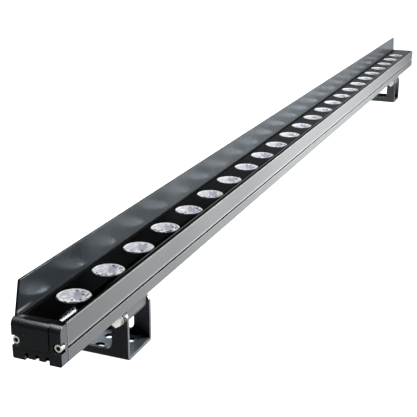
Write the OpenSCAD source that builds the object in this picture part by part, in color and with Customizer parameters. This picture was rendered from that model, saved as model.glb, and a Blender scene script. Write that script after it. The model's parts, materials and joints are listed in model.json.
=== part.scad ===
// Linear outdoor wall washer light on two tilting feet.
// X runs along the lamp from its near end to its cable end, Y towards the glare shield, Z up.
// The origin is on the ground, at the middle of the whole length and of the feet.

/* [Lamp body] */
// Overall length over the two end caps
lamp_l = 1000; // [700:10:1200]
// Width of the light channel, from the open side to the shield
body_w = 28; // [27.5:0.5:34]
// Height of the housing, from its underside to its top
body_h = 22.8; // [22:0.2:28]
// Thin lip of the wall, outside the sealant
lip_t = 0.6; // [0.4:0.1:1]
// Rise of the lip on the shield's side above the top
lip_rise = 0.2; // [0.2:0.1:2]
// Depth of the line pressed into the open side
groove_d = 1.5; // [0.4:0.1:1.5]
// Width of that line
groove_w = 1.4; // [0.6:0.1:1.6]
// Distance of that line below the top
groove_drop = 14.8; // [14:0.1:16]
// Width of the shallow recess under the housing
recess_w = 13.6; // [13:0.2:15]
// Depth of that recess
recess_d = 1.2; // [0.8:0.1:2]
// Number of cooling grooves under the housing
fin_n = 3; // [1:1:3]
// Distance between cooling grooves
fin_pitch = 6.2; // [4:0.1:6.2]
// Width of a cooling groove
fin_gap = 2.3; // [1:0.1:2.4]
// Thickness of the wall between the light channel and a cooling groove
floor_t = 3.2; // [1.5:0.1:4]
// Radius of the lower edges of the housing
edge_r = 1.2; // [0.5:0.1:1.5]

/* [Optics] */
// Number of lenses
lens_n = 24; // [4:1:24]
// Centre of the first lens from the near end
near_margin = 37.5; // [30:0.5:60]
// Centre of the last lens from the cable end
far_margin = 59; // [55:0.5:80]
// Diameter of a lens's face
lens_d = 19.4; // [16:0.1:19.8]
// Height of a lens
lens_h = 13.4; // [12:0.1:13.6]
// Rise of a lens's face above the top of the wall
lens_proud = -0.2; // [-0.4:0.1:1]
// Width of the flange that holds a lens under the front plate
lens_flange = 0.6; // [0.4:0.1:0.8]
// Inset of a lens's cone under that flange
lens_step = 1; // [0.6:0.1:1.4]
// Diameter of a lens at its foot
lens_foot_d = 9.2; // [8:0.1:11]
// Diameter of the round dimple in a lens's face
lens_eye_d = 8; // [5:0.1:9]
// Depth of that dimple
lens_eye_h = 0.6; // [0.3:0.1:1.2]
// Diameter of the cup over the emitter
lens_cup_d = 6.6; // [5.6:0.1:7]
// Height of that cup
lens_cup_h = 3.4; // [2:0.1:4]
// Thickness of the front plate
front_t = 3; // [2:0.1:4]
// Width of the sealant beside the front plate
seal_w = 1.8; // [1.4:0.1:2]
// Depth of the front plate below the top of the wall
front_drop = 0.2; // [0.1:0.1:0.6]
// Thickness of the silicone sheet round the lenses' flanges
sheet_t = 1; // [0.6:0.1:1.4]
// Width of that sheet beside a flange
sheet_rim = 0.7; // [0.5:0.1:0.8]
// Thickness of the circuit board
board_t = 1.6; // [1:0.1:2]
// Side of an emitter
chip_w = 3.5; // [2:0.1:3.6]
// Height of an emitter's base
chip_t = 0.7; // [0.4:0.1:1]
// Diameter of an emitter's dome
dome_d = 2.6; // [1:0.1:3]

/* [Glare shield] */
// Thickness of the shield
shield_t = 1.5; // [1:0.1:2]
// Height of the shield above the top of the wall
shield_h = 18.6; // [8:0.2:40]
// Overlap of the shield on the side of the housing
shield_lap = 9.5; // [8.5:0.1:10]
// Depth of the shield's face behind the side of the housing
shield_step = 0.5; // [0.2:0.1:1]
// Shield's end behind the face of the cap
shield_inset = 3.8; // [2:0.1:5]
// Slant of the shield's ends
shield_slant = 5; // [0:0.5:12]
// Number of shield screws
shield_screw_n = 6; // [2:1:10]

/* [End caps] */
// Length of an end cap
cap_l = 6.5; // [5.5:0.1:10]
// Thickness of the gasket behind it
gasket_t = 0.6; // [0.4:0.1:1.5]
// Radius of the cap's top edge
brow_r = 4; // [1:0.1:4.4]
// Width of the raised panel
panel_w = 15.3; // [10:0.1:16]
// Depth of the raised panel's lower edge below the top
panel_h = 15.5; // [12:0.1:16]
// Height of the raised panel above the cap's face
panel_t = 0.5; // [0.2:0.1:1]
// Radius of the panel's lower corners
panel_r = 3; // [1:0.1:5]
// Depth of the slots in the cap's face
slot_d = 2; // [0.5:0.1:3]
// Distance of a cap screw from the side of the cap
cap_screw_inset = 2.25; // [2.1:0.05:2.5]
// Distance of a cap screw below the top
cap_screw_drop = 12.4; // [11.8:0.1:12.6]
// Width of the open notch round a cap screw
notch_w = 5.8; // [5:0.1:6.2]
// Depth of that notch
notch_d = 4.3; // [3:0.1:4.4]

/* [Small screws] */
// Diameter of the shield, board and cap screws
screw_d = 2.5; // [2:0.1:2.6]
// Diameter of their heads
screw_head_d = 4.5; // [3.8:0.1:4.8]
// Height of a cap screw's head
screw_head_h = 2.5; // [1.6:0.1:2.6]
// Width of the hexagon recess
screw_key = 2.5; // [1.3:0.1:2.6]
// Depth of the hexagon recess
screw_key_d = 1.3; // [0.6:0.1:1.4]
// Height of a board screw's head
board_head_h = 1.5; // [0.8:0.1:2]
// Thickness of the washer under a cap screw
cap_washer_t = 0.6; // [0.3:0.1:0.8]
// Length of a cap screw in the housing
cap_screw_l = 12; // [6:0.5:20]
// Lenses from one board screw to the next
screw_every = 3; // [2:1:6]

/* [Feet] */
// Length of a foot along the lamp
foot_l = 31; // [28:0.5:40]
// Width of a foot across the lamp
foot_w = 35; // [34:0.5:50]
// Thickness of the foot's plate
plate_t = 2; // [1.5:0.1:3]
// Height of the pivot above the ground
pivot_h = 26.5; // [25:0.5:45]
// Width of the post that carries the pivot
post_w = 11; // [10.4:0.1:12]
// Height of the strip beside the post
strip_h = 5.6; // [3:0.1:5.8]
// Radius between the strip and the post
strip_r = 5; // [2:0.5:8]
// Outer radius of the bends
bend_r = 2; // [0.5:0.1:2.5]
// Foot's middle from the end lens
foot_inset = 50.5; // [45:0.5:70]
// Diameter of a fixing hole
foot_hole_d = 6.6; // [4:0.1:6.8]
// Fixing holes' distance along the lamp
hole_pitch_x = 13; // [11:0.5:15]
// Fixing holes' distance across the lamp
hole_pitch_y = 14; // [12:0.5:18]

/* [Pivots] */
// Diameter of the pivot bolt
bolt_d = 3; // [2.5:0.1:3.2]
// Width across flats of its head and nut
bolt_key = 5.5; // [5:0.1:5.8]
// Height of its head
bolt_head_h = 3; // [2:0.1:4]
// Diameter of the flat washers
washer_d = 7; // [6.6:0.1:7.4]
// Thickness of a flat washer
washer_t = 0.8; // [0.5:0.1:1.2]
// Diameter of the spring washer
spring_d = 6.2; // [5.8:0.1:6.6]
// Thickness of the spring washer
spring_t = 1; // [0.8:0.1:1.2]
// Split in the spring washer
spring_split = 0.8; // [0.4:0.1:1.2]
// Height of the nut's hexagon
nut_h = 3; // [2:0.1:4]
// Height of the nut's round collar
nut_collar_h = 0.8; // [0.5:0.1:1.5]
// Bolt's end beyond the nut
bolt_end = 1; // [0.5:0.1:4]
// Diameter of the carrier's barrel
barrel_d = 7.8; // [7.4:0.1:7.8]
// Thickness of the carrier's flange
flange_t = 2.1; // [1.9:0.1:2.4]
// Width of the web between barrel and flange
web_w = 7.6; // [6:0.1:7.6]
// Diameter of the carrier screws
carrier_screw_d = 3; // [2.5:0.1:3.2]
// Diameter of their heads
carrier_head_d = 5.6; // [4.5:0.1:6]
// Depth of the carrier screws in the housing
carrier_screw_l = 5; // [3:0.1:6]
// Distance of the carrier screws from the shield's side of the housing
carrier_screw_inset = 5; // [4.2:0.1:5.2]

/* [Cable gland] */
// Diameter of the gland's thread in the cap
gland_d = 12; // [10:0.1:12.5]
// Width across flats of the gland
gland_key = 14; // [13:0.1:14.6]
// Thickness of the gland's flange
gland_flange_t = 4; // [2:0.1:6]
// Diameter of the gland's outer thread
gland_neck_d = 11.2; // [10.6:0.1:11.6]
// Length of the gland's outer thread
gland_neck_l = 8; // [5:0.1:10]
// Length of the dome nut
dome_nut_l = 11; // [10.5:0.1:14]
// Diameter of the dome nut
dome_nut_d = 14.4; // [13.8:0.1:15]
// Thickness of the dome nut's end
dome_nut_end = 1.6; // [1:0.1:2]
// Diameter of the cable that the gland takes
cable_d = 6; // [4:0.1:6.2]
// Wall of the gland's rubber seal
gland_seal_t = 1.4; // [1:0.1:1.5]
// Bore of the gland behind its seal
gland_bore_d = 7; // [6.6:0.1:7.6]

/* [Hidden] */
$fn = 48;

// Clearances
run_gap = 0.1;
thread_gap = 0.05;
swing_gap = 0.5;
side_gap = 0.3;
fit_gap = 0.15;
lens_gap = 0.4;
cable_gap = 0.05;

// Overrun of every cut
over = 1;

// Places along the lamp
gland_out = gland_flange_t + dome_nut_l + side_gap;
x_near = -(lamp_l + gland_out) / 2;
x_far = x_near + lamp_l;
end_l = cap_l + gasket_t;
body_x = x_near + end_l;
body_l = lamp_l - 2 * end_l;
lens_pitch = (lamp_l - near_margin - far_margin) / (lens_n - 1);
near_foot_x = x_near + near_margin + foot_inset;
far_foot_x = x_far - far_margin - foot_inset;

// Places across the lamp and above the ground
half_w = body_w / 2;
lens_y = half_w - foot_w / 2;
outline_w = body_w + shield_t + shield_step;
outline_y = (shield_t + shield_step) / 2;
post_y = (post_w - foot_w) / 2;
pivot_drop = post_w / 2 + swing_gap;
under_z = pivot_h + pivot_drop;
top_z = under_z + body_h;

// Depths below the top of the wall, in the lamp's own frame
seat_z = -(front_drop + front_t);
sheet_z = seat_z - sheet_t;
board_z = lens_proud - lens_h;
floor_z = board_z - board_t;
fin_d = body_h + floor_z - floor_t;

// Half widths of the light channel
seat_hw = half_w - lip_t;
front_hw = seat_hw - seal_w;
channel_hw = lens_d / 2 - lens_gap;
sheet_hw = lens_d / 2 + lens_flange + sheet_rim;
seal_end = 0.8;

// Screw bosses beside the board
boss_r = 2.9;
boss_top_z = boss_r - cap_screw_drop;
cap_screw_y = outline_w / 2 - cap_screw_inset;
board_hw = cap_screw_y - outline_y - boss_r;

// Board, with the parts that stand on it
board_inset = 4;
board_x = body_x + board_inset;
board_l = body_l - 2 * board_inset;
board_screw_l = (body_h + floor_z) / 2;
board_screw_y = outline_y - fin_n % 2 * fin_pitch / 2;
board_screw_end = 0.5;
dome_h = 0.6;
regulator_every = 9;
regulator_l = 5;
regulator_w = 6;
regulator_h = 1.6;
terminal_l = 11;
terminal_w = 12;
terminal_h = 7;
terminal_gap = 13;
terminal_hole_d = 2.8;
terminal_pitch = 5;
terminal_x = x_far - far_margin + lens_d / 2 + terminal_gap;
slit_d = 0.5;
slit_head_d = 3;

// Shield screws
shield_screw_lift = 3;
shield_screw_drop = shield_lap - shield_screw_lift;
shield_screw_l = 2.8;
shield_end_x = x_near + shield_inset;
shield_l = lamp_l - 2 * shield_inset;
shield_screw_pitch = shield_l / shield_screw_n;
sink_h = (screw_head_d - screw_d) / 2;

// Cap
cap_seat = cap_l - notch_d;
gasket_rim = 1.6;

// Carrier and its screws
carrier_l = foot_l - 2 * plate_t - 2 * side_gap;
carrier_screw_y = lens_y + half_w + shield_t - carrier_screw_inset;
carrier_rim = 3.5;
carrier_sink_h = (carrier_head_d - carrier_screw_d) / 2;
strip_end_r = 3;

// Gland
gland_z = -body_h / 2;
gland_neck_x = gland_flange_t;
gland_seal_l = 7;
gland_lip = 0.8;

function lens_x(i) = x_near + near_margin + i * lens_pitch;
function lens_name(i) = str("lens_", i < 9 ? "0" : "", i + 1);

// Extrudes a (Y, Z) profile along X
module along_x(l) {
    rotate([90, 0, 90]) linear_extrude(l) children();
}

// Extrudes an (X, Z) profile along Y
module along_y(l) {
    translate([0, l, 0]) rotate([90, 0, 0]) linear_extrude(l) children();
}

module rod_x(d, l) {
    rotate([0, 90, 0]) cylinder(d = d, h = l);
}

module hex_x(key, l) {
    rotate([0, 90, 0]) cylinder(d = key / cos(30), h = l, $fn = 6);
}

// Cuts or fills the inside corner of two edges with radius r
module corner(r) {
    difference() {
        square(r);
        translate([r, r]) circle(r);
    }
}

// Places its children in the lamp's frame: lens row at Y 0, top of the wall at Z 0
module in_lamp() {
    translate([0, lens_y, top_z]) children();
}

// Outer outline that the housing and the caps share, without the shield's rebate
module full_outline() {
    difference() {
        translate([-half_w, -body_h]) square([outline_w, body_h]);
        translate([-half_w, -body_h]) corner(edge_r);
        translate([outline_w - half_w, -body_h]) mirror([1, 0]) corner(edge_r);
        translate([outline_y - recess_w / 2, -body_h - over]) square([recess_w, recess_d + over]);
    }
}

// Room for the shield's overlap in the left side
module rebate() {
    translate([half_w, -shield_lap]) square([outline_w - body_w + over, shield_lap + lip_rise + over]);
}

module fin_slots(depth) {
    for (i = [0:fin_n - 1]) {
        y = outline_y + (i - (fin_n - 1) / 2) * fin_pitch - fin_gap / 2;
        translate([y, -body_h - over]) square([fin_gap, depth + over]);
    }
}

module channel() {
    translate([-seat_hw, seat_z]) square([2 * seat_hw, -seat_z + lip_rise + over]);
    translate([-sheet_hw, sheet_z]) square([2 * sheet_hw, -sheet_z]);
    translate([-channel_hw, boss_top_z]) square([2 * channel_hw, -boss_top_z]);
    translate([-board_hw, floor_z]) square([2 * board_hw, -floor_z]);
}

module housing_profile() {
    difference() {
        union() {
            full_outline();
            translate([half_w - lip_t, -lip_t]) square([lip_t, lip_t + lip_rise]);
        }
        rebate();
        channel();
        fin_slots(fin_d);
        translate([-half_w - over, -groove_drop]) square([groove_d + over, groove_w]);
    }
}

// Places of the cap screws in the (Y, Z) plane
module at_cap_screws() {
    for (side = [-1, 1]) {
        translate([0, outline_y + side * cap_screw_y, -cap_screw_drop]) children();
    }
}

module at_shield_screws() {
    for (i = [0:shield_screw_n - 1]) {
        x = shield_end_x + (i + 1 / 2) * shield_screw_pitch;
        translate([x, half_w + shield_t, -shield_screw_drop]) rotate([90, 0, 0]) children();
    }
}

module at_board_screws() {
    for (i = [1:screw_every:lens_n - 2]) {
        translate([lens_x(i + 1 / 2), board_screw_y, board_z]) children();
    }
}

// Places of the carrier screws on the underside of the housing, pointing up
module at_carrier_screws(foot_x) {
    for (side = [-1, 1]) {
        x = foot_x + side * hole_pitch_x / 2;
        translate([x, carrier_screw_y, under_z]) children();
    }
}

module housing() {
    color("dimgray") difference() {
        in_lamp() difference() {
            translate([body_x, 0, 0]) along_x(body_l) housing_profile();
            for (x = [body_x - over, body_x + body_l - cap_screw_l]) {
                translate([x, 0, 0]) at_cap_screws() rod_x(screw_d + 2 * thread_gap, cap_screw_l + over);
            }
            at_shield_screws() cylinder(d = screw_d + 2 * thread_gap, h = shield_t + shield_screw_l);
            at_board_screws() translate([0, 0, -board_t - board_screw_l])
                cylinder(d = screw_d + 2 * thread_gap, h = board_t + board_screw_l);
        }
        for (x = [near_foot_x, far_foot_x]) {
            at_carrier_screws(x) translate([0, 0, -over])
                cylinder(d = carrier_screw_d + 2 * thread_gap, h = over + carrier_screw_l);
        }
    }
}

module glare_shield() {
    x0 = shield_end_x;
    x1 = shield_end_x + shield_l;
    outline = [
        [x0, fit_gap - shield_lap], [x1, fit_gap - shield_lap], [x1, 0],
        [x1 - shield_slant, shield_h], [x0 + shield_slant, shield_h], [x0, 0]
    ];
    color("slategray") in_lamp() difference() {
        translate([0, half_w, 0]) along_y(shield_t) polygon(outline);
        at_shield_screws() translate([0, 0, -over])
            cylinder(d = screw_d + 2 * thread_gap, h = shield_t + 2 * over);
        at_shield_screws() cylinder(d1 = screw_head_d, d2 = screw_d, h = sink_h);
    }
}

module shield_screws() {
    color("silver") in_lamp() at_shield_screws() difference() {
        union() {
            cylinder(d1 = screw_head_d, d2 = screw_d, h = sink_h);
            cylinder(d = screw_d, h = shield_t + shield_screw_l);
        }
        translate([0, 0, -over]) cylinder(d = screw_key / cos(30), h = over + slit_d, $fn = 6);
    }
}

// Round holes for the lenses, cut through a sheet between two heights
module lens_holes(d, low_z, high_z) {
    for (i = [0:lens_n - 1]) {
        translate([lens_x(i), 0, low_z - over])
            cylinder(d = d + 2 * fit_gap, h = high_z - low_z + 2 * over);
    }
}

module front_plate() {
    color("black") in_lamp() difference() {
        translate([body_x + seal_end, -front_hw, seat_z])
            cube([body_l - 2 * seal_end, 2 * front_hw, front_t]);
        lens_holes(lens_d, seat_z, seat_z + front_t);
    }
}

module front_sealant() {
    color([0.08, 0.08, 0.08]) in_lamp() difference() {
        translate([body_x, -seat_hw, seat_z]) cube([body_l, 2 * seat_hw, front_t]);
        translate([body_x + seal_end, -front_hw, seat_z - over])
            cube([body_l - 2 * seal_end, 2 * front_hw, front_t + 2 * over]);
    }
}

// Silicone sheet between the ledge and the front plate, open round the lenses' flanges
module lens_gasket() {
    color([0.05, 0.05, 0.05]) in_lamp() difference() {
        translate([body_x + fit_gap, fit_gap - sheet_hw, sheet_z])
            cube([body_l - 2 * fit_gap, 2 * (sheet_hw - fit_gap), sheet_t]);
        lens_holes(lens_d + 2 * lens_flange, sheet_z, seat_z);
    }
}

// Cone from the board up to the flange, then a round collar through the front plate
module lens(i) {
    rim_r = lens_d / 2;
    eye_r = lens_eye_d / 2;
    flange_h = sheet_z - board_z;
    profile = [
        [0, lens_cup_h], [lens_cup_d / 2, lens_cup_h], [lens_cup_d / 2, 0], [lens_foot_d / 2, 0],
        [rim_r - lens_step, flange_h], [rim_r + lens_flange, flange_h],
        [rim_r + lens_flange, flange_h + sheet_t], [rim_r, flange_h + sheet_t], [rim_r, lens_h],
        [eye_r, lens_h], [eye_r - lens_eye_h, lens_h - lens_eye_h], [0, lens_h - lens_eye_h]
    ];
    color("gainsboro") in_lamp() translate([lens_x(i), 0, board_z]) rotate_extrude() polygon(profile);
}

module led_board() {
    color("white") in_lamp() difference() {
        translate([board_x, fit_gap - board_hw, floor_z]) cube([board_l, 2 * (board_hw - fit_gap), board_t]);
        at_board_screws() translate([0, 0, -board_t - over])
            cylinder(d = screw_d + 2 * thread_gap, h = board_t + 2 * over);
    }
}

module led_emitters() {
    color("khaki") in_lamp() for (i = [0:lens_n - 1]) {
        translate([lens_x(i), 0, board_z]) {
            translate([-chip_w / 2, -chip_w / 2, 0]) cube([chip_w, chip_w, chip_t]);
            cylinder(d = dome_d, h = chip_t + dome_h);
        }
    }
}

module board_screws() {
    color("silver") in_lamp() at_board_screws() difference() {
        union() {
            cylinder(d = screw_head_d, h = board_head_h);
            translate([0, 0, board_screw_end - board_t - board_screw_l])
                cylinder(d = screw_d, h = board_t + board_screw_l);
        }
        translate([0, 0, board_head_h - slit_d])
            cylinder(d = screw_key / cos(30), h = slit_d + over, $fn = 6);
    }
}

module terminal_block() {
    color("seagreen") in_lamp() translate([terminal_x, -terminal_w / 2, board_z]) difference() {
        cube([terminal_l, terminal_w, terminal_h]);
        for (side = [-1, 1]) {
            y = (terminal_w + side * terminal_pitch) / 2;
            translate([terminal_l / 2, y, terminal_hole_d]) rod_x(terminal_hole_d, terminal_l);
            translate([terminal_l / 2, y, terminal_h / 2]) cylinder(d = slit_head_d, h = terminal_h);
        }
    }
}

module current_regulators() {
    color("black") in_lamp() for (i = [2:regulator_every:lens_n - 2]) {
        translate([lens_x(i + 1 / 2) - regulator_l / 2, -regulator_w / 2, board_z])
            cube([regulator_l, regulator_w, regulator_h]);
    }
}

// Raised panel with round lower corners, open to the top edge
module panel_outline() {
    translate([outline_y - panel_w / 2, -panel_h]) difference() {
        square([panel_w, panel_h]);
        corner(panel_r);
        translate([panel_w, 0]) mirror([1, 0]) corner(panel_r);
    }
}

// Takes the top edge off a cap piece whose face is at X 0
module brow() {
    translate([0, -half_w - over, 0]) along_y(outline_w + 2 * over) mirror([0, 1]) corner(brow_r);
}

// One end cap with its face at X 0; the cable end has a round boss in place of the panel
module cap(for_cable) {
    difference() {
        union() {
            translate([panel_t, 0, 0]) difference() {
                along_x(cap_l - panel_t) full_outline();
                brow();
            }
            if (for_cable) {
                translate([0, outline_y, gland_z]) rod_x(gland_key, cap_l);
            } else {
                difference() {
                    along_x(cap_l) panel_outline();
                    brow();
                }
            }
        }
        translate([-over, 0, 0]) along_x(slot_d + panel_t + over) fin_slots(fin_d);
        translate([shield_inset - fit_gap, 0, 0]) along_x(cap_l) rebate();
        for (side = [-1, 1]) {
            translate([-over, outline_y + side * cap_screw_y, -cap_screw_drop]) {
                rod_x(screw_d + 2 * thread_gap, cap_l + 2 * over);
                rod_x(notch_w, notch_d + over);
                translate([0, (side - 1) / 2 * notch_w, -notch_w / 2])
                    cube([notch_d + over, notch_w, notch_w]);
            }
        }
        if (for_cable) {
            translate([-over, outline_y, gland_z]) rod_x(gland_d + 2 * thread_gap, cap_l + 2 * over);
        }
    }
}

// Gasket with the housing's end outline, open over the light channel
module gasket() {
    along_x(gasket_t) difference() {
        full_outline();
        rebate();
        fin_slots(fin_d);
        translate([-board_hw, floor_z]) square([2 * board_hw, -floor_z - gasket_rim]);
        at_cap_screws_2d() circle(d = screw_d + 2 * thread_gap);
    }
}

module at_cap_screws_2d() {
    for (side = [-1, 1]) {
        translate([outline_y + side * cap_screw_y, -cap_screw_drop]) children();
    }
}

// Two socket screws with their washers, heads towards X 0
module cap_screws() {
    at_cap_screws() {
        translate([notch_d - cap_washer_t, 0, 0]) difference() {
            union() {
                rod_x(screw_head_d, cap_washer_t);
                translate([-screw_head_h, 0, 0]) rod_x(screw_head_d, screw_head_h);
                rod_x(screw_d, cap_washer_t + cap_seat + gasket_t + cap_screw_l - over);
            }
            translate([-screw_head_h - over, 0, 0]) hex_x(screw_key, screw_key_d + over);
        }
    }
}

// Turns an end piece modelled with its face at X 0 to the near or the cable end
module at_end(far) {
    in_lamp() translate([far ? x_far : x_near, 0, 0]) mirror([far ? 1 : 0, 0, 0]) children();
}

module end_cap(far) {
    color([0.12, 0.12, 0.13]) at_end(far) cap(far);
}

module end_gasket(far) {
    color([0.03, 0.03, 0.03]) at_end(far) translate([cap_l, 0, 0]) gasket();
}

module end_screws(far) {
    color("silver") at_end(far) cap_screws();
}

// Places the gland's axis on the cap at the cable end
module at_gland() {
    in_lamp() translate([x_far, outline_y, gland_z]) children();
}

module gland_body() {
    seal_d = cable_d + 2 * cable_gap + 2 * gland_seal_t;
    color("silver") at_gland() difference() {
        union() {
            translate([-cap_l, 0, 0]) rod_x(gland_d, cap_l);
            hex_x(gland_key, gland_flange_t);
            translate([gland_neck_x, 0, 0]) rod_x(gland_neck_d, gland_neck_l);
        }
        translate([-cap_l - over, 0, 0])
            rod_x(gland_bore_d, cap_l + gland_flange_t + gland_neck_l + 2 * over);
        translate([gland_neck_x + gland_neck_l - gland_seal_l, 0, 0])
            rod_x(seal_d, gland_seal_l + over);
    }
}

module gland_seal() {
    hole_d = cable_d + 2 * cable_gap;
    color([0.05, 0.05, 0.05]) at_gland() translate([gland_neck_x + gland_neck_l - gland_seal_l, 0, 0])
        difference() {
            rod_x(hole_d + 2 * gland_seal_t, gland_seal_l + gland_lip);
            translate([-over, 0, 0]) rod_x(hole_d, gland_seal_l + gland_lip + 2 * over);
        }
}

module gland_dome_nut() {
    inner_l = dome_nut_l - dome_nut_end;
    neck_r = gland_neck_d / 2 + thread_gap;
    nut_r = dome_nut_d / 2;
    mouth_r = gland_bore_d / 2;
    profile = [
        [neck_r, 0], [nut_r, 0], [nut_r, inner_l - dome_nut_end], [neck_r, dome_nut_l],
        [mouth_r, dome_nut_l], [mouth_r, inner_l], [neck_r, inner_l - dome_nut_end]
    ];
    color("silver") at_gland() translate([gland_flange_t + side_gap, 0, 0])
        rotate([0, 90, 0]) rotate_extrude() polygon(profile);
}

// Side view of a foot: a strip along the ground with a round-topped post at one end
module arm_profile() {
    post_edge = post_w - foot_w / 2;
    difference() {
        translate([-foot_w / 2, 0]) square([foot_w, strip_h]);
        translate([foot_w / 2, strip_h]) rotate(180) corner(strip_end_r);
    }
    translate([-foot_w / 2, 0]) square([post_w, pivot_h]);
    translate([post_y, pivot_h]) circle(d = post_w);
    translate([post_edge, strip_h]) corner(strip_r);
}

module foot() {
    inner_l = foot_l - 2 * plate_t;
    color([0.1, 0.1, 0.11]) difference() {
        translate([-foot_l / 2, 0, 0]) along_x(foot_l) arm_profile();
        translate([-inner_l / 2, -foot_w / 2 - over, plate_t])
            cube([inner_l, foot_w + 2 * over, pivot_h + post_w]);
        for (side = [0, 1]) {
            mirror([side, 0, 0]) translate([-foot_l / 2, -foot_w / 2 - over, 0])
                along_y(foot_w + 2 * over) corner(bend_r);
        }
        for (i = [-1, 1], j = [-1, 1]) {
            translate([i * hole_pitch_x / 2, j * hole_pitch_y / 2, -over])
                cylinder(d = foot_hole_d, h = plate_t + 2 * over);
        }
        translate([-foot_l / 2 - over, post_y, pivot_h]) rod_x(bolt_d + 2 * run_gap, foot_l + 2 * over);
    }
}

// Extruded hinge block: a flange under the housing and a barrel for the pivot bolt
module carrier(foot_x) {
    flange_y = post_y - barrel_d / 2;
    flange_w = carrier_screw_y + carrier_rim - flange_y;
    color("darkgray") difference() {
        translate([foot_x - carrier_l / 2, 0, 0]) {
            translate([0, flange_y, under_z - flange_t]) cube([carrier_l, flange_w, flange_t]);
            translate([0, post_y, pivot_h]) rod_x(barrel_d, carrier_l);
            translate([0, post_y - web_w / 2, pivot_h]) cube([carrier_l, web_w, pivot_drop]);
        }
        translate([foot_x - carrier_l, post_y, pivot_h]) rod_x(bolt_d + 2 * run_gap, 2 * carrier_l);
        at_carrier_screws(foot_x) {
            translate([0, 0, -flange_t - over])
                cylinder(d = carrier_screw_d + 2 * thread_gap, h = flange_t + 2 * over);
            translate([0, 0, -flange_t])
                cylinder(d1 = carrier_head_d, d2 = carrier_screw_d, h = carrier_sink_h);
        }
    }
}

module carrier_screws(foot_x) {
    color("silver") at_carrier_screws(foot_x) translate([0, 0, -flange_t]) difference() {
        union() {
            cylinder(d1 = carrier_head_d, d2 = carrier_screw_d, h = carrier_sink_h);
            cylinder(d = carrier_screw_d, h = flange_t + carrier_screw_l);
        }
        translate([0, 0, -over]) cylinder(d = screw_key / cos(30), h = over + slit_d, $fn = 6);
    }
}

// Places the pivot axis of one foot, with X 0 at the foot's near face
module at_pivot(foot_x) {
    translate([foot_x - foot_l / 2, post_y, pivot_h]) children();
}

module pivot_bolt(foot_x) {
    head_x = -washer_t - spring_t;
    shank_l = foot_l - head_x + washer_t + nut_h + nut_collar_h + bolt_end;
    color("gainsboro") at_pivot(foot_x) translate([head_x, 0, 0]) {
        rod_x(bolt_d, shank_l);
        translate([-bolt_head_h, 0, 0]) hex_x(bolt_key, bolt_head_h);
    }
}

module flat_washers(foot_x) {
    color("silver") at_pivot(foot_x) for (x = [-washer_t, foot_l]) {
        translate([x, 0, 0]) difference() {
            rod_x(washer_d, washer_t);
            translate([-over, 0, 0]) rod_x(bolt_d + 2 * run_gap, washer_t + 2 * over);
        }
    }
}

module spring_washer(foot_x) {
    color("silver") at_pivot(foot_x) translate([-washer_t - spring_t, 0, 0]) difference() {
        rod_x(spring_d, spring_t);
        translate([-over, 0, 0]) rod_x(bolt_d + 2 * run_gap, spring_t + 2 * over);
        translate([-over, -spring_split / 2, 0]) cube([spring_t + 2 * over, spring_split, spring_d]);
    }
}

module pivot_nut(foot_x) {
    color("silver") at_pivot(foot_x) translate([foot_l + washer_t, 0, 0]) difference() {
        union() {
            hex_x(bolt_key, nut_h);
            rod_x((bolt_key + bolt_d) / 2, nut_h + nut_collar_h);
        }
        translate([-over, 0, 0]) rod_x(bolt_d + 2 * thread_gap, nut_h + nut_collar_h + 2 * over);
    }
}

housing();
glare_shield();
shield_screws();
front_plate();
front_sealant();
lens_gasket();
for (i = [0:lens_n - 1]) {
    lens(i);
}
led_board();
led_emitters();
board_screws();
terminal_block();
current_regulators();
end_cap(false);  // end_cap_near
end_gasket(false);  // end_gasket_near
end_screws(false);  // cap_screws_near
end_cap(true);  // end_cap_far
end_gasket(true);  // end_gasket_far
end_screws(true);  // cap_screws_far
gland_body();
gland_seal();
gland_dome_nut();
translate([near_foot_x, 0, 0]) foot();  // foot_near
carrier(near_foot_x);  // carrier_near
carrier_screws(near_foot_x);  // carrier_screws_near
pivot_bolt(near_foot_x);  // pivot_bolt_near
flat_washers(near_foot_x);  // flat_washers_near
spring_washer(near_foot_x);  // spring_washer_near
pivot_nut(near_foot_x);  // pivot_nut_near
translate([far_foot_x, 0, 0]) foot();  // foot_far
carrier(far_foot_x);  // carrier_far
carrier_screws(far_foot_x);  // carrier_screws_far
pivot_bolt(far_foot_x);  // pivot_bolt_far
flat_washers(far_foot_x);  // flat_washers_far
spring_washer(far_foot_x);  // spring_washer_far
pivot_nut(far_foot_x);  // pivot_nut_far
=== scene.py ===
"""Looks of the outdoor wall washer light: materials, worked edges, faceted lenses, studio and camera.

X runs along the lamp towards its cable end, Y towards the glare shield, Z up. Lengths are in metres, or in millimetres
where the name says mm. Tones are linear red, green and blue.
"""

import json
import math
import random

import bmesh
import bpy
from mathutils import Matrix, Vector


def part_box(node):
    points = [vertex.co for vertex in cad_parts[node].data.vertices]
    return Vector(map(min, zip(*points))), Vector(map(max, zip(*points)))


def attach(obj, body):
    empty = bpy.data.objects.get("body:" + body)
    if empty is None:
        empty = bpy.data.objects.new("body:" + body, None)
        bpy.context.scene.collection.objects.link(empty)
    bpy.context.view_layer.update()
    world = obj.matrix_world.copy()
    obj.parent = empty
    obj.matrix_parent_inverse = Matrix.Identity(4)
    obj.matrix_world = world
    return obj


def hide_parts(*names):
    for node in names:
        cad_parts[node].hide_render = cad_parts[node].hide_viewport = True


MM = 0.001

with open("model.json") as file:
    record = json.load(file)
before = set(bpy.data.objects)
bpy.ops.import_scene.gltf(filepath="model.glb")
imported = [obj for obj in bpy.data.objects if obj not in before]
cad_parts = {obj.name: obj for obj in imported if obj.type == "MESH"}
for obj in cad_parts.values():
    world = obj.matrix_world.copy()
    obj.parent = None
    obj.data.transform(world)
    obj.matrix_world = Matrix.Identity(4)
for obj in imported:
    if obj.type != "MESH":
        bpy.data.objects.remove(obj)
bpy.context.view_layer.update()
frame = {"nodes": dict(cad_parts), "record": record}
nodes = frame["nodes"]
slot_of = {part["node"]: part["material_slot"] for part in frame["record"]["subparts"]}


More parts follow.
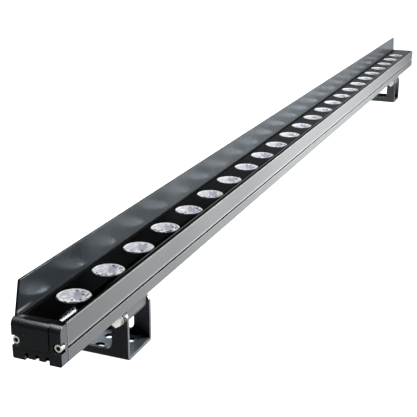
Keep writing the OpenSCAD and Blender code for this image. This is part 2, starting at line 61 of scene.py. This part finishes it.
# Camera of the photograph, in the part's frame
CAMERA_AT = (-0.84893, -0.23895, 0.25626)
CAMERA_RIGHT = Vector((0.38155398, -0.92434102, 0.00319982))
CAMERA_FORWARD = Vector((0.87508328, 0.36010177, -0.32335116))
LENS_MM = 75.91
SENSOR_MM = 36.0
CLIP_NEAR, CLIP_FAR = 0.01, 100.0


def add_camera():
    data = bpy.data.cameras.new("camera")
    data.lens, data.sensor_width, data.sensor_fit = LENS_MM, SENSOR_MM, "HORIZONTAL"
    data.clip_start, data.clip_end = CLIP_NEAR, CLIP_FAR
    camera = bpy.data.objects.new("camera", data)
    up = CAMERA_RIGHT.cross(CAMERA_FORWARD)
    axes = Matrix((CAMERA_RIGHT, up, -CAMERA_FORWARD)).transposed()
    camera.matrix_world = Matrix.Translation(CAMERA_AT) @ axes.to_4x4()
    bpy.context.scene.collection.objects.link(camera)
    bpy.context.scene.camera = camera


# Node trees
MIX_FACTOR, MIX_FIRST, MIX_SECOND, MIX_RESULT = 0, 6, 7, 2  # the Mix node's sockets for tones
UP, DOWN = (0.0, 1.0), (1.0, 0.0)  # a mask that grows and one that fades


class Tree:
    """A material's node tree with short calls for the nodes that the finishes share."""

    def __init__(self, name):
        self.material = bpy.data.materials.new(name)
        self.material.use_nodes = True
        self.nodes = self.material.node_tree.nodes
        self.links = self.material.node_tree.links
        self.nodes.clear()
        self.out = self.nodes.new("ShaderNodeOutputMaterial")
        self.coordinates = self.nodes.new("ShaderNodeTexCoord").outputs["Object"]

    def feed(self, socket, value):
        if isinstance(value, bpy.types.NodeSocket):
            self.links.new(value, socket)
        else:
            socket.default_value = value

    def add(self, kind, **inputs):
        node = self.nodes.new(kind)
        for key, value in inputs.items():
            self.feed(node.inputs[key.replace("_", " ")], value)
        return node

    def stretched(self, scale):
        mapping = self.add("ShaderNodeMapping", Vector=self.coordinates, Scale=scale)
        return mapping.outputs["Vector"]

    def noise(self, scale, detail=2.0, where=None):
        noise = self.add("ShaderNodeTexNoise", Vector=where or self.coordinates, Scale=scale, Detail=detail)
        return noise.outputs["Fac"]

    def spread(self, value, to=UP, within=UP):
        """Turns one range of a value into another, and holds values past its ends at the other's ends."""
        node = self.add("ShaderNodeMapRange", Value=value, From_Min=within[0], From_Max=within[1],
                        To_Min=to[0], To_Max=to[1])
        return node.outputs["Result"]

    def mix(self, factor, first, second):
        node = self.nodes.new("ShaderNodeMix")
        node.data_type = "RGBA"
        for index, value in ((MIX_FACTOR, factor), (MIX_FIRST, first), (MIX_SECOND, second)):
            self.feed(node.inputs[index], value)
        return node.outputs[MIX_RESULT]

    def product(self, first, second):
        node = self.nodes.new("ShaderNodeMath")
        node.operation = "MULTIPLY"
        self.links.new(first, node.inputs[0])
        self.links.new(second, node.inputs[1])
        return node.outputs["Value"]

    def bump(self, height, distance_mm, under=None):
        node = self.add("ShaderNodeBump", Height=height, Distance=distance_mm * MM)
        if under is not None:
            self.links.new(under, node.inputs["Normal"])
        return node.outputs["Normal"]

    def show(self, shader):
        self.links.new(shader.outputs["BSDF"], self.out.inputs["Surface"])
        return self.material


def rgba(tone, share=1.0):
    return (*(channel * share for channel in tone), 1.0)


# Masks that follow a piece's shape
LINE_SOFT_MM = 0.15
EDGE_RANGE = (0.93, 0.995)
RECESS_SAMPLES = 8


def upright(tree):
    """How far a face of the piece looks up or down, from 0 on its sides to 1."""
    axes = tree.add("ShaderNodeSeparateXYZ", Vector=tree.nodes.new("ShaderNodeTexCoord").outputs["Normal"])
    size = tree.add("ShaderNodeMath", Value=axes.outputs["Z"])
    size.operation = "ABSOLUTE"
    return size.outputs["Value"]


def beyond(tree, axis, start_mm, full_mm):
    """A mask that grows from 0 to 1 between two places along one axis of the piece."""
    axes = tree.add("ShaderNodeSeparateXYZ", Vector=tree.coordinates)
    return tree.spread(axes.outputs[axis], within=(start_mm * MM, full_mm * MM))


def band(tree, axis, low_mm, high_mm):
    """A mask that is 1 between two places along one axis of the piece, with soft ends."""
    after_low = beyond(tree, axis, low_mm - LINE_SOFT_MM, low_mm + LINE_SOFT_MM)
    before_high = beyond(tree, axis, high_mm + LINE_SOFT_MM, high_mm - LINE_SOFT_MM)
    return tree.product(after_low, before_high)


def edge_wear_and_highlight(tree, radius_mm):
    """A mask of wear and painted highlight, 1 on convex edges, from the angle between rounded and true normal."""
    rounded = tree.add("ShaderNodeBevel", Radius=radius_mm * MM).outputs["Normal"]
    true = tree.nodes.new("ShaderNodeNewGeometry").outputs["Normal"]
    dot = tree.nodes.new("ShaderNodeVectorMath")
    dot.operation = "DOT_PRODUCT"
    tree.links.new(rounded, dot.inputs[0])
    tree.links.new(true, dot.inputs[1])
    return tree.spread(dot.outputs["Value"], to=DOWN, within=EDGE_RANGE)


def recesses(tree, reach_mm, within, own=True):
    """A mask for painted shade, 1 deep in slots and corners, where little light comes."""
    open_sky = tree.add("ShaderNodeAmbientOcclusion", Distance=reach_mm * MM)
    open_sky.only_local, open_sky.samples = own, RECESS_SAMPLES
    return tree.spread(open_sky.outputs["AO"], to=DOWN, within=within)


# Finishes of solid surfaces
CLOUD_SCALE, CLOUD_RANGE = 18.0, (0.3, 0.7)
GRAIN_DETAIL, GRAIN_RANGE, GRAIN_SHARE, GRAIN_LIGHTER = 3.0, (0.4, 0.8), 0.6, 1.35
DRAWN_SCALE, DRAWN_STRETCH, DRAWN_RANGE = 900.0, (0.012, 1.0, 1.0), (0.45, 0.75)
DRAWN_SHARE, DRAWN_DARKER = 0.1, 0.7
# Where painted light on a foot's ground plate falls: faces that look up, low on the foot
FLAT_RANGE, FOOT_PLATE_MM = (0.5, 0.9), (5.0, 3.0)
# How painted shade in hollows fades on level faces, and its tone
DEEP_FLAT_RANGE = (0.3, 0.9)
RECESS_SHADE_TONE = (0.004, 0.004, 0.005)
DARKER_REGION_TONE = (0.02, 0.021, 0.022)


def finish(name, tone, rough, metallic=0.0, grain_mm=0.5, bump_mm=0.01, patch=0.12, rough_spread=0.08, specular=0.5,
           streaks_mm=0.0, edge=None, edge_mm=0.3, deep_mm=0.0, deep_range=(0.45, 0.85), deep_flats=1.0,
           plate=None, shade=None, seam=None, glint=None):
    """A solid finish: two scales of tone, grain with its bump and uneven gloss, and what follows the piece's shape.

    streaks_mm draws lines along X, edge is the tone of convex edges, partly wear and partly painted highlight, and
    deep_mm is the reach of painted shade in hollows, which is weaker by deep_flats on level faces. plate is painted
    light on a foot's level ground plate, shade a tone that comes in along X, painted shade on some pieces and a
    painted reflection on others, seam a darker tone beyond two places, painted shade at the shield's foot
    on the housing, and glint a painted highlight line.
    """
    tree = Tree(name)
    grain = tree.noise(1 / (grain_mm * MM), GRAIN_DETAIL)
    cloud = tree.noise(CLOUD_SCALE, GRAIN_DETAIL)
    base = tree.mix(tree.spread(cloud, within=CLOUD_RANGE), rgba(tone, 1 - patch), rgba(tone, 1 + patch))
    base = tree.mix(tree.spread(grain, (0.0, GRAIN_SHARE), GRAIN_RANGE), base, rgba(tone, GRAIN_LIGHTER))
    gloss = tree.spread(cloud, (rough - rough_spread, rough + rough_spread), CLOUD_RANGE)
    normal = tree.bump(grain, bump_mm)
    # Painted light on a foot's level ground plate
    if plate:
        level = tree.spread(upright(tree), within=FLAT_RANGE)
        base = tree.mix(tree.product(level, beyond(tree, "Z", *FOOT_PLATE_MM)), base, rgba(plate))
    # A tone along X: painted shade on some pieces, a painted reflection on others
    if shade:
        base = tree.mix(beyond(tree, "X", *shade["x_mm"]), base, rgba(shade["tone"]))
    if streaks_mm:
        lines = tree.noise(DRAWN_SCALE, where=tree.stretched(DRAWN_STRETCH))
        normal = tree.bump(lines, streaks_mm, under=normal)
        base = tree.mix(tree.spread(lines, (0.0, DRAWN_SHARE), DRAWN_RANGE), base, rgba(tone, DRAWN_DARKER))
    # Edge tone: partly wear, partly painted highlight
    if edge:
        base = tree.mix(edge_wear_and_highlight(tree, edge_mm), base, rgba(edge))
    # Painted shade in hollows, weaker on level faces
    if deep_mm:
        strength = tree.spread(upright(tree), (1.0, deep_flats), DEEP_FLAT_RANGE)
        base = tree.mix(tree.product(recesses(tree, deep_mm, deep_range), strength), base, rgba(RECESS_SHADE_TONE))
    # A darker region beyond two places on Y and Z, painted shade on the housing at the shield's foot
    if seam:
        darker_mask = tree.product(beyond(tree, "Y", *seam["y_mm"]), beyond(tree, "Z", *seam["z_mm"]))
        base = tree.mix(darker_mask, base, rgba(DARKER_REGION_TONE))
    # A painted highlight line
    if glint:
        line = tree.product(band(tree, "Y", *glint["y_mm"]), band(tree, "Z", *glint["z_mm"]))
        base = tree.mix(tree.product(line, beyond(tree, "X", *glint["x_mm"])), base, rgba(glint["tone"]))
    shader = tree.add("ShaderNodeBsdfPrincipled", Base_Color=base, Roughness=gloss, Metallic=metallic, Normal=normal)
    shader.inputs["Specular IOR Level"].default_value = specular
    return tree.show(shader)


# Finishes of turned metal
RING_SCALE, RING_STRETCH, RING_DETAIL, RING_BUMP_MM = 2600.0, (1.0, 0.15, 0.15), 1.0, 0.006
SMUDGE_SCALE, SMUDGE_DETAIL, SMUDGE_RANGE = 240.0, 3.0, (0.35, 0.75)
SMUDGE_SHARE, SMUDGE_DARKER, SMUDGE_GLOSS = 0.5, 0.72, (-0.07, 0.12)
SOCKET_SHADE_TONE = (0.006, 0.006, 0.006)


def turned_metal(name, tone, rough, metallic=1.0, deep_mm=2.2, deep_range=(0.66, 0.92)):
    """Bright turned or drawn metal: fine rings round X, small dents in its gloss, painted shade in sockets and gaps.
    """
    tree = Tree(name)
    rings = tree.noise(RING_SCALE, RING_DETAIL, tree.stretched(RING_STRETCH))
    smudge = tree.noise(SMUDGE_SCALE, SMUDGE_DETAIL)
    base = tree.mix(tree.spread(smudge, (0.0, SMUDGE_SHARE), SMUDGE_RANGE), rgba(tone), rgba(tone, SMUDGE_DARKER))
    # Painted shade in sockets and in the gaps between parts
    base = tree.mix(recesses(tree, deep_mm, deep_range, own=False), base, rgba(SOCKET_SHADE_TONE))
    gloss = tree.spread(smudge, (rough + SMUDGE_GLOSS[0], rough + SMUDGE_GLOSS[1]), CLOUD_RANGE)
    shader = tree.add("ShaderNodeBsdfPrincipled", Base_Color=base, Roughness=gloss, Metallic=metallic,
                      Normal=tree.bump(rings, RING_BUMP_MM))
    return tree.show(shader)


# Finishes of the lenses
FLOW_SCALE, FLOW_RANGE, FLOW_BUMP_MM = 420.0, (0.35, 0.65), 0.01
FLOW_DARKER, FLOW_LIGHTER, FLOW_GLOSS = 0.86, 1.06, 0.12
LENS_SPECULAR = 0.6


def lens_face(name, tone, rough):
    """A moulded face of a lens: cool tone with faint flow clouds and a polished skin."""
    tree = Tree(name)
    flow = tree.noise(FLOW_SCALE)
    base = tree.mix(tree.spread(flow, within=FLOW_RANGE), rgba(tone, FLOW_DARKER), rgba(tone, FLOW_LIGHTER))
    gloss = tree.spread(flow, (rough, rough + FLOW_GLOSS), CLOUD_RANGE)
    shader = tree.add("ShaderNodeBsdfPrincipled", Base_Color=base, Roughness=gloss,
                      Normal=tree.bump(flow, FLOW_BUMP_MM))
    shader.inputs["Specular IOR Level"].default_value = LENS_SPECULAR
    return tree.show(shader)


# Settings of every finish
SOLID_FINISHES = {
    "housing_metal": dict(
        tone=(0.35, 0.365, 0.365), rough=0.38, metallic=0.25, grain_mm=0.3, bump_mm=0.004, patch=0.03,
        # Pale edges are partly wear, partly painted highlight; painted shade fills the groove and other hollows
        edge=(0.95, 0.96, 0.94), edge_mm=1.0, deep_mm=4.0,
        # Painted shade over the far end
        shade=dict(x_mm=(360.0, 490.0), tone=(0.27, 0.283, 0.288)),
        # Painted shade in the corner at the shield's foot
        seam=dict(y_mm=(9.4, 9.9), z_mm=(53.6, 54.4)),
        # A painted highlight line along the side's groove
        glint=dict(y_mm=(-18.0, -17.4), z_mm=(42.05, 43.0), x_mm=(-520.0, -519.0), tone=(0.72, 0.74, 0.75)),
    ),
    "shield_metal": dict(
        tone=(0.17, 0.192, 0.208), rough=0.24, metallic=0.5, grain_mm=0.35, bump_mm=0.003, patch=0.08,
        # Lighter edges are partly wear, partly painted highlight
        streaks_mm=0.0008, edge=(0.3, 0.31, 0.32),
        # Painted shade over the near end
        shade=dict(x_mm=(-380.0, -440.0), tone=(0.078, 0.093, 0.108)),
        # Painted highlight: a light band low on the shield by the near end
        glint=dict(y_mm=(9.5, 10.9), z_mm=(56.7, 58.2), x_mm=(-489.0, -501.0), tone=(0.9, 0.9, 0.88)),
    ),
    "gloss_black": dict(
        tone=(0.0003, 0.0003, 0.0004), rough=0.03, rough_spread=0.01, bump_mm=0.0, specular=0.02,
        # Painted reflection: lighter towards the far end
        shade=dict(x_mm=(-345.0, 490.0), tone=(0.055, 0.056, 0.058)),
        # A painted highlight line along the plate's edge, fading out towards the near end
        glint=dict(y_mm=(-14.3, -13.7), z_mm=(50.0, 60.0), x_mm=(-455.0, -400.0), tone=(0.22, 0.222, 0.225)),
    ),
    "cap_plastic": dict(
        tone=(0.34, 0.363, 0.378), rough=0.2, metallic=0.88, grain_mm=0.28, bump_mm=0.003, patch=0.04,
        # Pale edges are partly wear, partly painted highlight; painted shade in the slots and along the panel's foot
        edge=(0.7, 0.71, 0.7), edge_mm=0.5, deep_mm=2.5, deep_range=(0.6, 0.97),
        # Darker over the cap's top, away from the shield side
        seam=dict(y_mm=(8.5, 6.0), z_mm=(55.0, 55.25)),
    ),
    "foot_paint": dict(
        tone=(0.42, 0.447, 0.467), rough=0.3, metallic=0.85, grain_mm=0.4, bump_mm=0.006, patch=0.04,
        # Edges partly wear, partly painted highlight; painted shade inside the foot; painted light on its ground plate
        edge=(0.8, 0.81, 0.8), deep_mm=26.0, deep_range=(0.75, 1.0), deep_flats=0.1, plate=(0.74, 0.82, 0.95),
    ),
    "carrier_metal": dict(
        tone=(0.38, 0.39, 0.39), rough=0.36, metallic=0.7, grain_mm=0.3, bump_mm=0.004, patch=0.05,
        # Edges partly wear, partly painted highlight; painted shade in hollows
        streaks_mm=0.001, edge=(0.6, 0.6, 0.6), deep_mm=3.0,
    ),
    "black_rubber": dict(tone=(0.003, 0.003, 0.003), rough=0.5, grain_mm=0.4, bump_mm=0.02, specular=0.06),
    "chip_plastic": dict(tone=(0.01, 0.01, 0.011), rough=0.5, grain_mm=0.3, bump_mm=0.004, specular=0.3),
    "board_enamel": dict(tone=(0.72, 0.73, 0.71), rough=0.4, grain_mm=0.3, bump_mm=0.002, patch=0.04),
    "emitter_resin": dict(tone=(0.8, 0.6, 0.12), rough=0.25, grain_mm=0.2, bump_mm=0.002),
    "terminal_plastic": dict(tone=(0.03, 0.22, 0.08), rough=0.4, grain_mm=0.3, bump_mm=0.004),
}
TURNED_FINISHES = {
    "stainless_steel": dict(tone=(0.93, 0.9, 0.85), rough=0.45, metallic=0.75),
    "bright_steel": dict(tone=(0.98, 0.97, 0.93), rough=0.3, metallic=0.4, deep_mm=1.2, deep_range=(0.72, 0.97)),
    "nickel_plate": dict(tone=(0.72, 0.70, 0.66), rough=0.2),
}
# Tones of the lens zones: the rim and facet tones are painted highlights, the dark one painted shade
LENS_FINISHES = {
    "lens_plastic": dict(tone=(0.68, 0.7, 0.77), rough=0.1),
    "lens_rim": dict(tone=(0.95, 0.95, 0.96), rough=0.12),
    "lens_core": dict(tone=(0.45, 0.46, 0.56), rough=0.08),
    "lens_facet": dict(tone=(0.97, 0.97, 0.98), rough=0.1),
    "lens_gap": dict(tone=(0.03, 0.032, 0.036), rough=0.2),
}


def build_materials():
    made = {}
    for make, settings_of in ((finish, SOLID_FINISHES), (turned_metal, TURNED_FINISHES), (lens_face, LENS_FINISHES)):
        for name, settings in settings_of.items():
            made[name] = make(name, **settings)
    return made


# Worked edges
EDGE_WIDTH_MM = {
    "housing_metal": 0.12, "shield_metal": 0.25, "cap_plastic": 0.3, "foot_paint": 0.2, "carrier_metal": 0.25,
    "stainless_steel": 0.5, "nickel_plate": 0.25, "gloss_black": 0.3, "black_rubber": 0.12, "terminal_plastic": 0.2,
}
EDGE_ANGLE = math.radians(32)
WELD_MM = 0.002
WIDE_EDGE_MM = 0.4
NARROW_SEGMENTS, WIDE_SEGMENTS = 2, 3
FACE_WEIGHT = 80
BRIGHT_STEEL = ("pivot_bolt", "pivot_nut", "flat_washers", "spring_washer")


def round_edges(piece, width_mm):
    weld = piece.modifiers.new("weld", "WELD")
    weld.merge_threshold = WELD_MM * MM
    bevel = piece.modifiers.new("edges", "BEVEL")
    bevel.width, bevel.segments = width_mm * MM, WIDE_SEGMENTS if width_mm > WIDE_EDGE_MM else NARROW_SEGMENTS
    bevel.limit_method, bevel.angle_limit = "ANGLE", EDGE_ANGLE
    bevel.face_strength_mode = "FSTR_ALL"
    normals = piece.modifiers.new("normals", "WEIGHTED_NORMAL")
    normals.mode, normals.weight, normals.use_face_influence = "FACE_AREA", FACE_WEIGHT, True


def dress_cad_nodes(materials):
    for name, piece in nodes.items():
        slot = slot_of[name]
        piece.data.materials.clear()
        piece.data.materials.append(materials["bright_steel" if name.startswith(BRIGHT_STEEL) else slot])
        if slot in EDGE_WIDTH_MM:
            round_edges(piece, EDGE_WIDTH_MM[slot])


# Rings of vertices and the faces between them
def new_piece(name, build, materials):
    mesh = bpy.data.meshes.new(name)
    shape = bmesh.new()
    build(shape)
    bmesh.ops.recalc_face_normals(shape, faces=shape.faces)
    shape.to_mesh(mesh)
    shape.free()
    for material in materials:
        mesh.materials.append(material)
    piece = bpy.data.objects.new(name, mesh)
    bpy.context.scene.collection.objects.link(piece)
    return piece


def ring(shape, centre, radius, z, steps, turn, wobble):
    """A closed row of vertices, turned by a share of a step. wobble gives how far each one is moved outwards."""
    row = []
    for i in range(steps):
        r = radius + (wobble() if wobble else 0.0)
        angle = 2 * math.pi * (i + turn) / steps
        row.append(shape.verts.new((centre[0] + r * math.cos(angle), centre[1] + r * math.sin(angle), z)))
    return row


def join(shape, first, second, zone):
    """Quads between two rings of the same count."""
    n = len(first)
    for i in range(n):
        face = shape.faces.new((first[i], first[(i + 1) % n], second[(i + 1) % n], second[i]))
        face.material_index = zone


def bridge(shape, first, second, zone):
    """Triangles between two rings of different counts."""
    i = j = 0
    n, m = len(first), len(second)
    while i < n or j < m:
        if j == m or (i < n and (i + 1) * m <= (j + 1) * n):
            face = shape.faces.new((first[i], first[(i + 1) % n], second[j % m]))
            i += 1
        else:
            face = shape.faces.new((first[i % n], second[(j + 1) % m], second[j]))
            j += 1
        face.material_index = zone


def zigzag(shape, first, second, tint):
    """Triangles between two rings that are turned by half a step."""
    n = len(first)
    for i in range(n):
        tint(shape.faces.new((first[i], first[(i + 1) % n], second[i])))
        tint(shape.faces.new((first[(i + 1) % n], second[(i + 1) % n], second[i])))


# Lenses: heights are shares of the lens's height, radii are shares of its face's radius
LENS_PREFIX = "lens_"
SEED = 7
FACETS = 15
LIP_STEPS = 3  # steps of the lip for each facet
RIM_STEPS = 66
FLANGE_MM = 0.6
FLANGE_LOW_MM = 9.0
RISE_MM = 0.2
FOOT_RADIUS, THROAT_RADIUS = 0.46, 0.9
FLANGE_STEPS = (0.002, 0.07, 0.073)  # from the flange's foot up: its lower edge, its upper edge and the collar
RIM_PROFILE = ((1.0, 0.985), (0.985, 0.997), (0.965, 1.0), (0.925, 0.997), (0.905, 0.988), (0.895, 0.975))
LIP, OUTER_ROW, MIDDLE_ROW, INNER_ROW = (0.885, 0.97), (0.68, 0.945), (0.46, 0.925), (0.24, 0.94)
TIP_HEIGHT = 0.955
HALF_STEP = 0.5
WOBBLE = 0.025

# Zones of a lens's face, laid out along two level directions that are fixed in the lamp
# Their tones are painted light: painted highlights on the rim and facets, a darker core and painted shade in the dark
# zone
ZONES = ("lens_plastic", "lens_rim", "lens_core", "lens_facet", "lens_gap")
BODY, RIM, CORE, FACET, PAINTED_SHADE = range(len(ZONES))
ACROSS = Vector((CAMERA_RIGHT.x, CAMERA_RIGHT.y)).normalized()
AHEAD = Vector((-ACROSS.y, ACROSS.x))
HOLE_SHADE = 0.24
CORE_ACROSS, CORE_AHEAD = (-0.02, 0.5), (-0.3, 0.75)
CALM_ACROSS, CALM_AHEAD, CALM_RADIUS, CALM_BODY = 0.1, -0.25, 0.86, 0.85
BUSY_FACET, BUSY_BODY = 0.6, 0.82


def in_hole_shade(place):
    """The crescent along the near rim where the shade of the plate's hole is painted."""
    return place.dot(AHEAD) < 0 and (place - AHEAD * HOLE_SHADE).length > 1.0


def face_zone(place, rng):
    """Which zone of painted light a facet takes, from its place in the face, where 1 is the face's radius."""
    across, ahead = place.dot(ACROSS), place.dot(AHEAD)
    pick = rng.random()
    if in_hole_shade(place):
        return PAINTED_SHADE
    if CORE_ACROSS[0] < across < CORE_ACROSS[1] and CORE_AHEAD[0] < ahead < CORE_AHEAD[1]:
        return CORE
    if across < CALM_ACROSS and ahead > CALM_AHEAD and place.length < CALM_RADIUS:
        return BODY if pick < CALM_BODY else FACET
    return FACET if pick < BUSY_FACET else BODY if pick < BUSY_BODY else PAINTED_SHADE


def lens_shape(low, high, rng):
    """A collimator that fills a plain lens's box: cone, flange, rim and shallow jittered facets, all in painted light.
    """
    centre = Vector(((low.x + high.x) / 2, (low.y + high.y) / 2))
    radius = (high.x - low.x) / 2 - FLANGE_MM * MM
    height = high.z - low.z + RISE_MM * MM
    flange = (high.x - low.x) / 2 / radius
    flange_low = (FLANGE_LOW_MM * MM) / height
    bottom, top, collar = (flange_low + step for step in FLANGE_STEPS)
    outline = ((FOOT_RADIUS, 0.0), (THROAT_RADIUS, flange_low), (flange, bottom), (flange, top), (1.0, collar),
               *RIM_PROFILE)

    def build(shape):
        def at(r, z, steps=RIM_STEPS, turn=0.0, wobble=None):
            return ring(shape, centre, radius * r, low.z + height * z, steps, turn, wobble)

        def place_of(face):
            middle = face.calc_center_median()
            return (Vector((middle.x, middle.y)) - centre) / radius

        def tint(face):
            face.material_index = face_zone(place_of(face), rng)

        def wobble():
            return rng.uniform(-WOBBLE, WOBBLE) * radius

        rings = [at(r, z) for r, z in outline]
        for first, second in zip(rings, rings[1:]):
            join(shape, first, second, RIM)
        shape.faces.new(reversed(rings[0]))
        lip = at(*LIP, steps=FACETS * LIP_STEPS)
        bridge(shape, rings[-1], lip, RIM)
        # Painted shade in the crescent along the near rim
        for face in shape.faces:
            if in_hole_shade(place_of(face)):
                face.material_index = PAINTED_SHADE

        outer = at(*OUTER_ROW, FACETS, 0.0, wobble)
        for i in range(FACETS):
            start = LIP_STEPS * i
            for step in range(start, start + LIP_STEPS):
                tint(shape.faces.new((lip[step], lip[(step + 1) % len(lip)], outer[i])))
            tint(shape.faces.new((lip[(start + LIP_STEPS) % len(lip)], outer[(i + 1) % FACETS], outer[i])))
        middle = at(*MIDDLE_ROW, FACETS, HALF_STEP, wobble)
        zigzag(shape, outer, middle, tint)
        inner = at(*INNER_ROW, FACETS, 0.0, wobble)
        zigzag(shape, inner, middle, tint)
        tip = shape.verts.new((*centre, low.z + height * TIP_HEIGHT))
        for i in range(FACETS):
            tint(shape.faces.new((inner[i], inner[(i + 1) % FACETS], tip)))

    return build


def add_lenses(materials):
    rng, optics = random.Random(SEED), []
    zones = [materials[key] for key in ZONES]
    for name in sorted(n for n in nodes if n.startswith(LENS_PREFIX) and n[len(LENS_PREFIX):].isdigit()):
        low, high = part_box(name)
        piece = new_piece(name + "_optic", lens_shape(low, high, rng), zones)
        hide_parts(name)
        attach(piece, "lamp")
        optics.append(piece)
    return optics


# Floor
FLOOR_SIZE = 60.0
FLOOR_DROP = 0.0002
FLOOR_TONES = (0.93, 0.93, 0.93), (0.95, 0.95, 0.95)
FLOOR_SCALE, FLOOR_ROUGH = 1.2, 0.9
WHITE = (1.0, 1.0, 1.0)


def add_floor():
    """A pale floor that is lit evenly and neither shades nor mirrors the lamp."""
    tree = Tree("floor_white")
    base = tree.mix(tree.noise(FLOOR_SCALE), *(rgba(tone) for tone in FLOOR_TONES))
    shader = tree.add("ShaderNodeBsdfPrincipled", Base_Color=base, Roughness=FLOOR_ROUGH, Emission_Color=rgba(WHITE),
                      Emission_Strength=1.0)
    shader.inputs["Specular IOR Level"].default_value = 0.0
    mesh = bpy.data.meshes.new("floor")
    half = FLOOR_SIZE / 2
    mesh.from_pydata([(-half, -half, 0), (half, -half, 0), (half, half, 0), (-half, half, 0)], [], [(0, 1, 2, 3)])
    mesh.materials.append(tree.show(shader))
    floor = bpy.data.objects.new("floor", mesh)
    floor.location.z = -FLOOR_DROP
    floor.visible_diffuse = floor.visible_glossy = floor.visible_shadow = False
    bpy.context.scene.collection.objects.link(floor)


# World: each range says where a glow starts and ends along one axis of the view direction
GLOW, RIGHT, LEFT, NEAR, BELOW = 0.57, 0.02, 2.0, 0.024, 0.05
WORLD_TONE = (0.92, 0.96, 1.0)
GLOW_Z, GLOW_X = (0.02, 0.42), (0.3, 0.9)
RING_LOW_Z, RING_HIGH_Z = (-0.75, -0.45), (-0.1, 0.0)
LOW_RING_HIGH_Z = (-0.27, -0.12)
RIGHT_Y, LEFT_Y = (0.0, -0.25), (0.0, 0.5)
NEAR_X, AHEAD_X = (-0.3, -0.8), (-0.3, 0.3)
BELOW_Z = (-0.9, -0.3)


def add_world():
    """Dark studio with a glow low over the far end, glows under the horizon at both sides and a faint bounce."""
    world = bpy.data.worlds.new("studio")
    world.use_nodes = True
    tree, world_nodes = world.node_tree, world.node_tree.nodes
    axes = world_nodes.new("ShaderNodeSeparateXYZ")
    tree.links.new(world_nodes.new("ShaderNodeTexCoord").outputs["Generated"], axes.inputs["Vector"])
    ahead, across, height = (axes.outputs[axis] for axis in "XYZ")

    def spread(value, within, to=UP):
        node = world_nodes.new("ShaderNodeMapRange")
        node.interpolation_type = "SMOOTHSTEP"
        tree.links.new(value, node.inputs["Value"])
        for key, number in zip(("From Min", "From Max", "To Min", "To Max"), (*within, *to)):
            node.inputs[key].default_value = number
        return node.outputs["Result"]

    def combine(kind, first, second):
        node = world_nodes.new("ShaderNodeMath")
        node.operation = kind
        tree.links.new(first, node.inputs[0])
        tree.links.new(second, node.inputs[1])
        return node.outputs["Value"]

    glow = combine("MULTIPLY", spread(height, GLOW_Z, (GLOW, 0.0)), spread(ahead, GLOW_X))
    wide_ring = combine("MULTIPLY", spread(height, RING_LOW_Z), spread(height, RING_HIGH_Z, DOWN))
    right = combine("MULTIPLY", wide_ring, spread(across, RIGHT_Y, (0.0, RIGHT)))
    left = combine("MULTIPLY", wide_ring, spread(across, LEFT_Y, (0.0, LEFT)))
    low_ring = combine("MULTIPLY", spread(height, RING_LOW_Z), spread(height, LOW_RING_HIGH_Z, DOWN))
    near = combine("MULTIPLY", low_ring, spread(ahead, NEAR_X, (0.0, NEAR)))
    sides = combine("MULTIPLY", combine("ADD", right, left), spread(ahead, AHEAD_X))
    glow = combine("ADD", combine("ADD", glow, sides), near)
    bounce = spread(height, BELOW_Z, (BELOW, 0.0))
    background = world_nodes["Background"]
    background.inputs["Color"].default_value = rgba(WORLD_TONE)
    tree.links.new(combine("ADD", glow, bounce), background.inputs["Strength"])
    bpy.context.scene.world = world


# Area lights: size is along the light's own X, size_y along its Y, and power is in watts
AREA_LIGHTS = {
    "top_box": dict(at=(-0.3, 0.3, 1.5), target=(-0.3, 0.3, 0.0), power=17.5, size=3.0, size_y=1.0),
    "side_box": dict(at=(0.03, -0.52, 0.2), target=(0.03, 0.0, 0.04), power=5.8, size=0.3, size_y=0.2),
    "steel_snoot": dict(at=(-1.3, -0.35, 0.25), target=(-0.5, 0.0, 0.035), power=13.0, size=0.35),
    "back_box": dict(at=(-0.1, 1.3, 0.5), target=(0.0, 0.0, 0.04), power=4.0, size=1.2, size_y=0.4),
    "streak_strip": dict(at=(0.4214, 0.5659, 0.5724), target=(-0.4917, -0.0136, 0.0551), power=0.036, size=0.037,
                         size_y=0.0019, tone=(0.94, 0.97, 1.0)),
    "lens_box": dict(at=(0.0, 0.25, 1.2), target=(0.0, 0.0, 0.05), power=4.5, size=2.0, size_y=0.3),
}
STREAK_ALONG = Vector((0.0356, -0.0174, -0.0141))


def area_light(name, at, target, power, size, size_y=None, tone=WHITE):
    data = bpy.data.lights.new(name, "AREA")
    data.energy, data.color, data.size = power, tone, size
    if size_y:
        data.shape, data.size_y = "RECTANGLE", size_y
    light = bpy.data.objects.new(name, data)
    light.location = at
    light.rotation_mode = "QUATERNION"
    light.rotation_quaternion = (Vector(target) - Vector(at)).to_track_quat("-Z", "Y")
    bpy.context.scene.collection.objects.link(light)
    return light


def turn_strip(light, along, back):
    """Lays a strip light's long side along one line while it shines opposite to back."""
    z = back.normalized()
    x = (along - along.dot(z) * z).normalized()
    light.rotation_quaternion = Matrix((x, z.cross(x), z)).transposed().to_quaternion()


def only_on(light, pieces):
    """Flags a light so that it falls on these pieces alone."""
    lit = bpy.data.collections.new(light.name + "_lit")
    for piece in pieces:
        lit.objects.link(piece)
    light.light_linking.receiver_collection = lit


def add_studio(optics):
    add_floor()
    add_world()
    lights = {name: area_light(name, **settings) for name, settings in AREA_LIGHTS.items()}
    only_on(lights["steel_snoot"], [piece for name, piece in nodes.items() if slot_of[name] == "stainless_steel"])
    only_on(lights["streak_strip"], [nodes["front_plate"]])
    only_on(lights["lens_box"], optics)
    streak = AREA_LIGHTS["streak_strip"]
    turn_strip(lights["streak_strip"], STREAK_ALONG, Vector(streak["at"]) - Vector(streak["target"]))
    bpy.context.scene.view_settings.view_transform = "Standard"


add_camera()
finishes = build_materials()
dress_cad_nodes(finishes)
add_studio(add_lenses(finishes))
